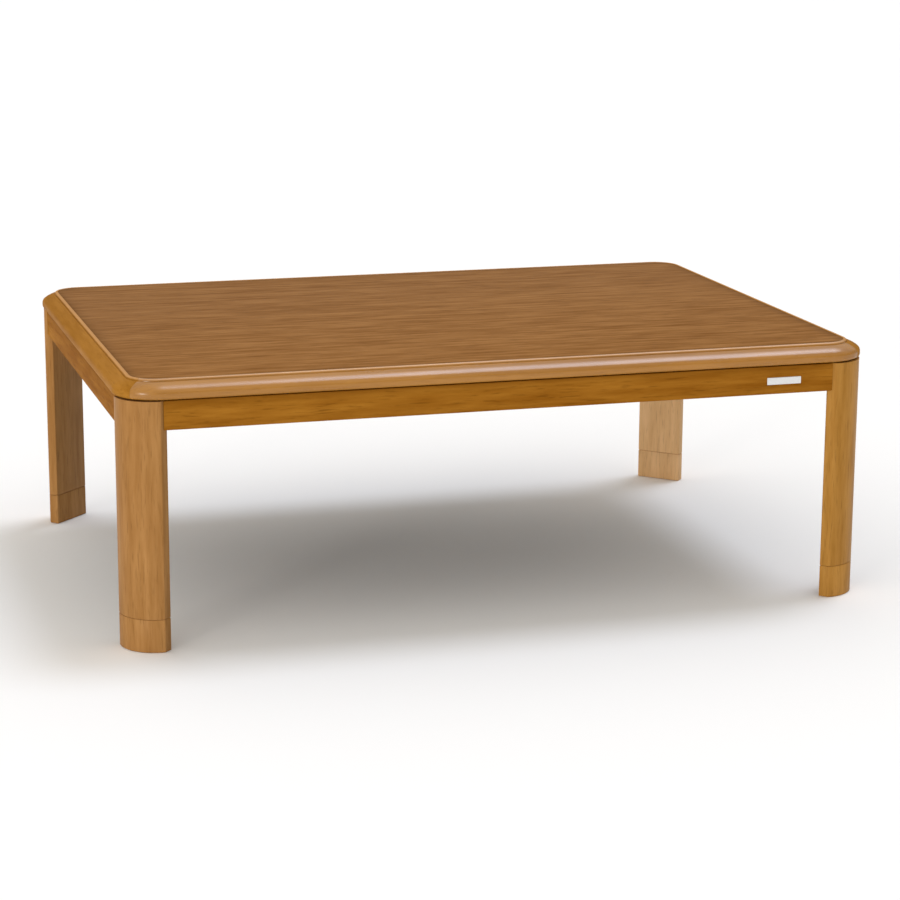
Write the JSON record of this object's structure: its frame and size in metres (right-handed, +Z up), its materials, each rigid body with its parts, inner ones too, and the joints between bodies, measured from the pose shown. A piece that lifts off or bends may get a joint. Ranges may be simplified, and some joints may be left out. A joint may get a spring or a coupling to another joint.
{
  "type": "kotatsu table",
  "caption": "Low heated table with a loose rimmed top on a wooden frame, corner legs with extension feet, and a quartz heater unit with a fan under the middle.",
  "frame": {"origin": "on the floor under the middle of the table", "axes": "+X along the length, to the right as seen from the side with the badge plate; +Y towards the back; +Z up"},
  "size_m": [1.05, 0.75, 0.362],
  "materials": {
    "veneer": "satin stained veneer",
    "rim_wood": "satin lacquered solid wood",
    "frame_wood": "satin lacquered wood",
    "leg_wood": "satin lacquered wood",
    "raw_wood": "raw softwood",
    "dowel_wood": "raw beech",
    "under_board": "matt board",
    "pad_rubber": "matt",
    "glide_plastic": "matt nylon",
    "zinc_steel": "zinc plated",
    "badge_metal": "fine brushed",
    "housing_steel": "galvanised sheet",
    "reflector_steel": "bright rolled",
    "guard_enamel": "black baked enamel",
    "cover_plastic": "fine textured",
    "quartz": "clear",
    "ceramic": "unglazed white",
    "heating_wire": "oxidised",
    "board_laminate": "solder mask",
    "terminal_plastic": "matt",
    "brass": "nickel free",
    "inlet_plastic": "matt",
    "lead_insulation": "glass braid sleeve",
    "fan_steel": "rolled"
  },
  "bodies": {
    "frame": {"apron_front": "frame_wood", "apron_back": "frame_wood", "apron_left": "frame_wood", "apron_right": "frame_wood", "anti_slip_pads": "pad_rubber", "corner_blocks": "raw_wood", "corner_block_screws": "zinc_steel", "badge_plate": "badge_metal", "heater_rail_left": "raw_wood", "heater_rail_right": "raw_wood", "heater_stretchers": "raw_wood", "guard_grille": "guard_enamel", "frame_dowels": "dowel_wood", "leg_socket_inserts": "glide_plastic", "leg_bolts": "zinc_steel", "leg_washers": "zinc_steel", "leg_nuts": "zinc_steel", "heater_housing": "housing_steel", "heater_reflector": "reflector_steel", "reflector_spacers": "ceramic", "heater_guard": "guard_enamel", "quartz_tubes": "quartz", "tube_end_caps": "ceramic", "tube_brackets": "zinc_steel", "heating_element": "heating_wire", "control_cover": "cover_plastic", "control_board": "board_laminate", "terminal_blocks": "terminal_plastic", "inlet_socket": "inlet_plastic", "inlet_pins": "brass", "thermostat": "ceramic", "heater_leads": "lead_insulation", "fan_motor": "zinc_steel", "heater_screws": "zinc_steel", "leg_front_left": "leg_wood", "leg_front_right": "leg_wood", "leg_back_left": "leg_wood", "leg_back_right": "leg_wood"},
    "top": {"top_face_sheet": "veneer", "top_under_sheet": "under_board", "top_core_battens": "raw_wood", "rim_front": "rim_wood", "rim_back": "rim_wood", "rim_left": "rim_wood", "rim_right": "rim_wood", "rim_dowels": "dowel_wood"},
    "fan": {"fan_shaft": "zinc_steel", "fan_wheel": "fan_steel"},
    "front_left_foot": {"foot_front_left": "leg_wood", "foot_peg_front_left": "zinc_steel", "foot_glide_front_left": "glide_plastic"},
    "front_right_foot": {"foot_front_right": "leg_wood", "foot_peg_front_right": "zinc_steel", "foot_glide_front_right": "glide_plastic"},
    "back_left_foot": {"foot_back_left": "leg_wood", "foot_peg_back_left": "zinc_steel", "foot_glide_back_left": "glide_plastic"},
    "back_right_foot": {"foot_back_right": "leg_wood", "foot_peg_back_right": "zinc_steel", "foot_glide_back_right": "glide_plastic"}
  },
  "joints": [
    {"name": "top_lift", "type": "slide", "parent": "frame", "child": "top", "axis": [0, 0, 1], "range_m": [0, 0.25]},
    {"name": "fan_spin", "type": "hinge", "parent": "frame", "child": "fan", "pos_m": [-0.023, 0, 0.31], "axis": [0, 0, 1], "continuous": true},
    {"name": "front_left_foot_pull", "type": "slide", "parent": "frame", "child": "front_left_foot", "axis": [0, 0, -1], "range_m": [0, 0.03]},
    {"name": "front_right_foot_pull", "type": "slide", "parent": "frame", "child": "front_right_foot", "axis": [0, 0, -1], "range_m": [0, 0.03]},
    {"name": "back_left_foot_pull", "type": "slide", "parent": "frame", "child": "back_left_foot", "axis": [0, 0, -1], "range_m": [0, 0.03]},
    {"name": "back_right_foot_pull", "type": "slide", "parent": "frame", "child": "back_right_foot", "axis": [0, 0, -1], "range_m": [0, 0.03]}
  ]
}
